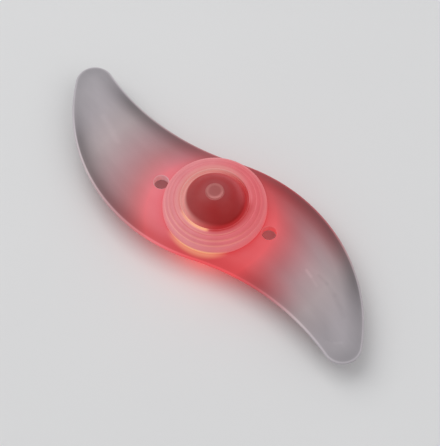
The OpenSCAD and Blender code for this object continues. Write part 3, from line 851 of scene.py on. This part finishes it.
# Cap: the edge of its opening, by the distance from the opening, with a painted pale highlight on one side
# and painted deep red LED light on another
CAP_INNER = (2.2, 0.6)
CAP_WALL = (0.4, 0.05)
CAP_PALE_SECTOR = (180, 36.9, 120)
CAP_DEEP_SECTOR = (356, 34.9, 56.6)
CAP_PALE_HIGHLIGHT = (0.41, 0.24, 0.215)
CAP_DEEP_RED_LIGHT = (0.34, 0.028, 0.032)
CAP_PALE_GLOW = (0.38, 0.16, 0.145)
CAP_DEEP_GLOW = (0.24, 0.012, 0.015)
CAP_FLANK = (CAP_TOP_Z - 0.7, FLANGE_TOP_Z + 1.4)
CAP_ROUGHNESS = (0.34, 0.46)
# Light that leaks through the thin plastic of the grooves, in shares of a ring, most of all over the LED
GROOVE_GLOW = (0.28, 0.02)
FIRST_GROOVE = (0.4, 0.6)
GROOVE_SECTOR = (295, 18.2, 84.3)
GROOVE_LEVELS = (0.12, 0.75)
GROOVE_ORANGE = (0.46, 0.17, 0.11)
# The hot crescent over the LED, which ends at its sector and is strongest towards one end
HOT_INSIDE = (0, 0.3)
HOT_OUTSIDE = (1.6, 0.6)
HOT_SECTOR = (280, 23.8, 32.3)
HOT_RISE = (300, 0, 50.2)
HOT_LEVELS = (0.2, 1.0)


def cap_paint():
    """Frosted and lit from inside, with a hot edge over the LED, a painted pale highlight on the opening's
    edge further round, and painted deep red LED light on another side.
    """
    paint = Paint("frosted_cap")
    height = paint.part("Z")
    from_opening = paint.math("SUBTRACT", paint.plan_distance(), OPENING_R)
    inner = paint.fade(from_opening, *CAP_INNER)
    # A painted pale highlight on one side of the opening's edge, and painted deep red LED light on another
    highlight_side = paint.sector(*CAP_PALE_SECTOR)
    inner_red_light = paint.both(inner, paint.sector(*CAP_DEEP_SECTOR))
    tint = paint.mix(paint.both(inner, highlight_side), lamp_lit_tint(paint), CAP_PALE_HIGHLIGHT)
    paint.set(Base_Color=paint.mix(inner_red_light, tint, CAP_DEEP_RED_LIGHT))
    light = paint.mix(paint.span(height, *CAP_FLANK), GLOW_SHELL, GLOW_FLANK)
    angle = paint.math("ARCSINE", paint.span(height, FLANGE_TOP_Z, CAP_TOP_Z))
    rings = paint.math("DIVIDE", paint.math("SUBTRACT", angle, RING_FROM), RING_SPAN)
    groove = paint.fade(paint.math("PINGPONG", rings, 0.5), *GROOVE_GLOW)
    leak = paint.both(groove, paint.span(rings, *FIRST_GROOVE))
    light = paint.mix(paint.both(leak, paint.sector(*GROOVE_SECTOR, *GROOVE_LEVELS)), light, GROOVE_ORANGE)
    opening = paint.math("MAXIMUM", paint.fade(from_opening, *CAP_WALL), inner_red_light)
    light = paint.mix(opening, light, paint.mix(highlight_side, CAP_DEEP_GLOW, CAP_PALE_GLOW))
    hot_ring = paint.both(paint.fade(from_opening, *HOT_INSIDE), paint.fade(from_opening, *HOT_OUTSIDE))
    hot_side = paint.both(paint.sector(*HOT_SECTOR), paint.sector(*HOT_RISE, *HOT_LEVELS, step="LINEAR"))
    paint.glow(paint.mix(paint.both(hot_ring, hot_side), light, HOT_YELLOW))
    frost(paint, *CAP_ROUGHNESS)
    return paint.material


# Base: a hot line at the foot of its flange, and the red glow below the leaf
HOT_LINE = (SEAT_Z + 1.6, SEAT_Z + 0.5)
HOT_LINE_SECTOR = (LED_SIDE, 8.1, 41.4)
BELOW_CENTRE = BASE_R * bearing(305)
BELOW_REACH = (1.8 * BASE_R, 0)
BELOW_DIM = (0.4, 0.014, 0.015)
BELOW_BRIGHT = (1.9, 0.055, 0.06)
ABOVE_LEAF = (BRIM_Z, SEAT_Z - 0.2)
BASE_ROUGHNESS = (0.4, 0.52)


def base_paint():
    """Like the cap above the leaf, with a hot line at its foot, and glowing red below the leaf."""
    paint = Paint("frosted_base")
    height = paint.part("Z")
    paint.set(Base_Color=lamp_lit_tint(paint))
    hot = paint.both(paint.fade(height, *HOT_LINE), paint.sector(*HOT_LINE_SECTOR))
    above = paint.mix(hot, GLOW_FLANK, HOT_YELLOW)
    from_led = paint.plan_distance(BELOW_CENTRE)
    below = paint.mix(paint.fade(from_led, *BELOW_REACH), BELOW_DIM, BELOW_BRIGHT)
    paint.glow(paint.mix(paint.span(height, *ABOVE_LEAF), below, above))
    frost(paint, *BASE_ROUGHNESS)
    return paint.material


# Dome: dark red, with painted light, a painted highlight and a painted sheen that lighten it on its sides,
# and paler towards one side
DOME_RED = (0.25, 0.014, 0.014)
DOME_LIT_REACH = (2.5, 8.8)
DOME_LIT_SECTOR = (116, 25.8, 113.6)
DOME_LIT_RED = (0.385, 0.048, 0.056)
DOME_HIGHLIGHT_REACH = (6.3, 8.6)
DOME_HIGHLIGHT_SECTOR = (92, 0, 66.4)
DOME_HIGHLIGHT = (0.50, 0.08, 0.09)
DOME_VEIL_SIDE = 240
DOME_VEIL_RISE = (0, 0.95 * DOME_R)
DOME_VEIL = (0.265, 0.052, 0.052)
DOME_SHEEN_REACH = (6.0, 3.2)
DOME_SHEEN_SIDE = 120
DOME_SHEEN_RISE = (-4.0, 3.2)
DOME_SHEEN_LEVELS = (0.1, 1.0)
DOME_SHEEN = (0.275, 0.058, 0.062)
DOME_GLOW = (0.12, 0.004, 0.004)
DOME_CLOUD = 5.0
DOME_WANDER = 2.0
DOME_ROUGHNESS = (0.36, 0.44)
DOME_GRAIN = 0.8
DOME_DEPTH = 0.01
DOME_GRAIN_STRENGTH = 0.4
DOME_GLOSS = 0.3
# The pad on top, with a paler ring round it that has a painted highlight on one side
PAD_RING = (POST_R - 1.1, POST_R - 0.5)
PAD_TINTS = (
    (0, (0.26, 0.083, 0.08)), (PAD_RING[0], (0.27, 0.09, 0.085)),
    (PAD_RING[1], (0.37, 0.14, 0.13)), (POST_R, (0.34, 0.13, 0.12)),
)
PAD_HIGHLIGHT_SIDE = 340
PAD_HIGHLIGHT_RISE = (0, 0.9 * POST_R)
PAD_HIGHLIGHT = (0.50, 0.20, 0.19)
PAD_EDGE = (POST_R + 0.05, POST_R + 0.3)
# The foot, which has a painted pale highlight on one side, painted deep red LED light round the rest, and is
# wider on one side
FOOT_PALE_SECTOR = (200, 25.8, 134.4)
FOOT_WIDE_SECTOR = (260, 0, 95.7)
FOOT_STARTS = (-0.75, -1.5)
FOOT_FULL = -0.2
FOOT_DEEP_RED_LIGHT = (0.28, 0.03, 0.033)
FOOT_PALE_HIGHLIGHT = (0.42, 0.21, 0.20)
FOOT_DEEP_GLOW = (0.27, 0.018, 0.02)
FOOT_PALE_GLOW = (0.38, 0.17, 0.155)


def dome_red(paint, from_axis):
    """The dome's red, with painted light on some sides, a painted highlight, paler towards one side, and a
    painted sheen round its pad.
    """
    lit_side = paint.sector(*DOME_LIT_SECTOR, step="LINEAR")
    red = paint.mix(paint.both(paint.span(from_axis, *DOME_LIT_REACH), lit_side), DOME_RED, DOME_LIT_RED)
    highlight = paint.both(paint.span(from_axis, *DOME_HIGHLIGHT_REACH), paint.sector(*DOME_HIGHLIGHT_SECTOR))
    red = paint.mix(highlight, red, DOME_HIGHLIGHT)
    red = paint.mix(paint.fade(paint.toward(DOME_VEIL_SIDE), *DOME_VEIL_RISE), red, DOME_VEIL)
    sheen_side = paint.span(paint.toward(DOME_SHEEN_SIDE), *DOME_SHEEN_RISE, *DOME_SHEEN_LEVELS)
    return paint.mix(paint.both(paint.fade(from_axis, *DOME_SHEEN_REACH), sheen_side), red, DOME_SHEEN)


def dome_paint():
    """Dark red with a paler pad on top, painted highlights on the pad's ring and on the foot, and painted
    red LED light on the rest of the foot.
    """
    paint = Paint("clear_dome")
    from_axis = paint.plan_distance()
    highlight_side = paint.fade(paint.toward(PAD_HIGHLIGHT_SIDE), *PAD_HIGHLIGHT_RISE)
    pad_highlight = paint.both(paint.span(from_axis, *PAD_RING), highlight_side)
    pad = paint.mix(pad_highlight, paint.ramp(from_axis, PAD_TINTS), PAD_HIGHLIGHT)
    tint = paint.mix(paint.span(from_axis, *PAD_EDGE), pad, dome_red(paint, from_axis))
    foot_highlight_side = paint.sector(*FOOT_PALE_SECTOR)
    foot_start = paint.sector(*FOOT_WIDE_SECTOR, *FOOT_STARTS)
    at_foot = paint.fade(paint.math("SUBTRACT", from_axis, DOME_R), foot_start, FOOT_FULL)
    tint = paint.mix(at_foot, tint, paint.mix(foot_highlight_side, FOOT_DEEP_RED_LIGHT, FOOT_PALE_HIGHLIGHT))
    paint.set(Base_Color=paint.cloud(tint, paint.noise(DOME_CLOUD), FROST_VARY))
    paint.glow(paint.mix(at_foot, DOME_GLOW, paint.mix(foot_highlight_side, FOOT_DEEP_GLOW, FOOT_PALE_GLOW)))
    paint.set(Specular_IOR_Level=DOME_GLOSS)
    paint.set(Roughness=paint.spread(paint.noise(DOME_WANDER), *DOME_ROUGHNESS))
    paint.bump(paint.noise(DOME_GRAIN), DOME_DEPTH, DOME_GRAIN_STRENGTH)
    return paint.material


# Plastic, rubber and resin
PLASTIC_CLOUD = 2.5
PLASTIC_WANDER = 1.2
PLASTIC_DETAIL = 4.0
PLASTIC_DEPTH = 0.015
# Colour, least and most roughness, size of the grain, how much the colour varies, and any light
PLASTICS = {
    "white_plastic": ((0.78, 0.77, 0.74), 0.38, 0.5, 0.3, 0.06),
    "film": ((0.75, 0.52, 0.12), 0.15, 0.25, 0.5, 0.06),
    "black_plastic": ((0.02, 0.02, 0.022), 0.35, 0.5, 0.25, 0.2),
    "black_resin": ((0.012, 0.012, 0.014), 0.12, 0.22, 0.6, 0.2),
    "chip_ceramic": ((0.02, 0.02, 0.022), 0.3, 0.42, 0.2, 0.2),
    "cap_ceramic": ((0.38, 0.24, 0.13), 0.3, 0.42, 0.2, 0.1),
    "seal_rubber": ((0.60, 0.33, 0.31), 0.6, 0.75, 0.2, 0.08, (0.30, 0.10, 0.09)),
}


def plastic_paint(name, colour, low, high, grain, vary, light=None):
    """Moulded plastic, rubber or resin with a fine grain, which the lamp may shine through."""
    paint = Paint(name)
    noise = paint.noise(PLASTIC_CLOUD)
    paint.set(Base_Color=paint.cloud(colour, noise, vary))
    if light:
        paint.glow(paint.cloud(light, noise, vary))
    paint.set(Roughness=paint.spread(paint.noise(PLASTIC_WANDER), low, high))
    paint.bump(paint.noise(grain, PLASTIC_DETAIL), PLASTIC_DEPTH, GRAIN_STRENGTH)
    return paint.material


# Metal: colour, least and most roughness, and how much finer the scratches are along each axis
METALS = {
    "spring_steel": ((0.56, 0.57, 0.58), 0.22, 0.36, (1, 6, 1)),
    "contact_metal": ((0.66, 0.56, 0.34), 0.2, 0.34, (6, 1, 1)),
    "cell_steel": ((0.62, 0.62, 0.63), 0.2, 0.32, (1, 1, 8)),
    "tinned_metal": ((0.7, 0.7, 0.68), 0.25, 0.4, (1, 1, 6)),
}
SCRATCH_SIZE = 0.5
SCRATCH_DETAIL = 5.0
SCRATCH_LEVELS = (0.88, 1.08)
SCRATCH_DEPTH = 0.006
SCRATCH_STRENGTH = 0.5


def metal_paint(name, colour, low, high, stretch):
    """Rolled metal with fine scratches along one direction."""
    paint = Paint(name)
    lines = paint.noise(SCRATCH_SIZE, SCRATCH_DETAIL, stretch)
    paint.set(Base_Color=paint.times(colour, paint.spread(lines, *SCRATCH_LEVELS)))
    paint.set(Metallic=1.0, Roughness=paint.spread(lines, low, high))
    paint.bump(lines, SCRATCH_DEPTH, SCRATCH_STRENGTH)
    return paint.material


# Circuit board
TRACK_DENSITY = 0.55
TRACK_WIDTH = (0.10, 0.06)
TRACK_DEPTH = 0.02
BOARD_GREEN = (0.012, 0.11, 0.045)
TRACK_GREEN = (0.03, 0.20, 0.085)
BOARD_CLOUD = 3.0
BOARD_VARY = 0.1
BOARD_WANDER = 1.0
BOARD_ROUGHNESS = (0.25, 0.4)


def board_paint():
    """Green lacquer over copper tracks, which show as slightly raised and paler lines."""
    paint = Paint("board")
    inputs = {"Vector": paint.place, "Scale": TRACK_DENSITY}
    cells = paint.node("ShaderNodeTexVoronoi", inputs, feature="DISTANCE_TO_EDGE", distance="MANHATTAN")
    tracks = paint.span(cells.outputs["Distance"], *TRACK_WIDTH)
    colour = paint.mix(tracks, BOARD_GREEN, TRACK_GREEN)
    paint.set(Base_Color=paint.cloud(colour, paint.noise(BOARD_CLOUD), BOARD_VARY))
    paint.set(Roughness=paint.spread(paint.noise(BOARD_WANDER), *BOARD_ROUGHNESS))
    paint.bump(tracks, TRACK_DEPTH, GRAIN_STRENGTH)
    return paint.material


# LEDs
LED_RED = (0.62, 0.03, 0.03)
LED_TOP = (11.5, 15.0)
LED_DIM = (0.4, 0.01, 0.01)
LED_BRIGHT = (2.0, 0.5, 0.25)
LED_CLOUD = 1.0
LED_VARY = 0.1
LED_WANDER = 0.8
LED_ROUGHNESS = (0.1, 0.18)
LED_COAT = 0.4


def led_paint():
    """Tinted resin that is brightest at its top."""
    paint = Paint("led_red")
    paint.set(Base_Color=paint.cloud(LED_RED, paint.noise(LED_CLOUD), LED_VARY))
    paint.glow(paint.mix(paint.fade(paint.part("Z"), *LED_TOP), LED_DIM, LED_BRIGHT))
    paint.set(Roughness=paint.spread(paint.noise(LED_WANDER), *LED_ROUGHNESS), Coat_Weight=LED_COAT)
    return paint.material


PAINTS = {
    "frosted_leaf": leaf_paint(),
    "frosted_base": base_paint(),
    "frosted_cap": cap_paint(),
    "clear_dome": dome_paint(),
    "board": board_paint(),
    "led_red": led_paint(),
    **{name: plastic_paint(name, *look) for name, look in PLASTICS.items()},
    **{name: metal_paint(name, *look) for name, look in METALS.items()},
}
SLOTS = {part["node"]: part["material_slot"] for part in frame["record"]["subparts"]}


def dress(piece, node, body):
    """Puts a piece in the place of a CAD node, with the paint of the node's slot."""
    slot = SLOTS[node]
    piece.data.materials.clear()
    piece.data.materials.append(PAINTS[slot])
    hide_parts(node)
    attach(piece, body)


dress(make_leaf(), "leaf_shell", "root")
dress(make_base(), "lamp_base", "root")
dress(make_cap(), "screw_cap", "cap")
dress(make_dome(), "button_dome", "button")

# The other pieces keep their CAD shapes, with their edges broken
EDGE_BREAK = 0.06
BREAK_ANGLE = math.radians(40)
BREAK_SEGMENTS = 2
NODE_WELD = 0.001
for name, piece in frame["nodes"].items():
    piece.data.materials.clear()
    piece.data.materials.append(PAINTS[SLOTS[name]])
    weld = piece.modifiers.new("weld", "WELD")
    weld.merge_threshold = NODE_WELD * MM
    bevel = piece.modifiers.new("bevel", "BEVEL")
    bevel.width = EDGE_BREAK * MM
    bevel.segments = BREAK_SEGMENTS
    bevel.limit_method = "ANGLE"
    bevel.angle_limit = BREAK_ANGLE

# Camera: the hub is at its place in the frame of the photograph
CLIP_START = 10.0
camera_data = bpy.data.cameras.new("camera")
camera_data.lens = FOCAL_PX * SENSOR / max(IMAGE_SIZE)
camera_data.sensor_width = SENSOR
camera_data.clip_start = CLIP_START * MM
camera = bpy.data.objects.new("camera", camera_data)
bpy.context.scene.collection.objects.link(camera)
across = (HUB_PX[0] - IMAGE_SIZE[0] / 2) / FOCAL_PX
along = (HUB_PX[1] - IMAGE_SIZE[1] / 2) / FOCAL_PX
place = (TARGET - DISTANCE * (across * RIGHT + along * DOWN + FORWARD)) * MM
turn = Matrix((RIGHT, -DOWN, -FORWARD)).transposed().to_4x4()
camera.matrix_world = Matrix.Translation(place) @ turn
bpy.context.scene.camera = camera

# Floor
FLOOR_HALF = 3000.0
FLOOR_GREYS = ((0.80, 0.795, 0.79), (0.83, 0.825, 0.82))
FLOOR_CLOUD = 60.0
FLOOR_WANDER = 30.0
FLOOR_ROUGHNESS = (0.7, 0.8)


def floor_paint():
    """A plain pale grey."""
    paint = Paint("floor")
    paint.set(Base_Color=paint.mix(paint.noise(FLOOR_CLOUD), *FLOOR_GREYS))
    paint.set(Roughness=paint.spread(paint.noise(FLOOR_WANDER), *FLOOR_ROUGHNESS))
    return paint.material


floor_signs = ((-1, -1), (1, -1), (1, 1), (-1, 1))
floor = mesh_piece("floor", [(x * FLOOR_HALF, y * FLOOR_HALF, 0) for x, y in floor_signs], [(0, 1, 2, 3)])
floor.location.z = CAD_BOX[0].z
floor.data.materials.append(floor_paint())

# Lamps, at a distance in metres, and the light of the room
LAMP_REACH = 1.0
WORLD_COLOUR = (0.95, 0.97, 1.0, 1)
WORLD_LEVEL = 0.45


def lamp(name, toward, size, power):
    """A soft square lamp that faces the part from a direction."""
    data = bpy.data.lights.new(name, "AREA")
    data.size = size
    data.energy = power
    light = bpy.data.objects.new(name, data)
    bpy.context.scene.collection.objects.link(light)
    light.location = toward.normalized() * LAMP_REACH
    light.rotation_euler = toward.to_track_quat("Z", "Y").to_euler()


lamp("key", 0.35 * AWAY - 0.4 * RIGHT + 0.9 * UP, size=1.0, power=4.4)
lamp("fill", 0.6 * RIGHT - 0.3 * AWAY + 0.9 * UP, size=0.9, power=1.6)

world = bpy.data.worlds.new("world")
world.use_nodes = True
world.node_tree.nodes["Background"].inputs["Color"].default_value = WORLD_COLOUR
world.node_tree.nodes["Background"].inputs["Strength"].default_value = WORLD_LEVEL
bpy.context.scene.world = world
bpy.context.scene.view_settings.view_transform = "Standard"
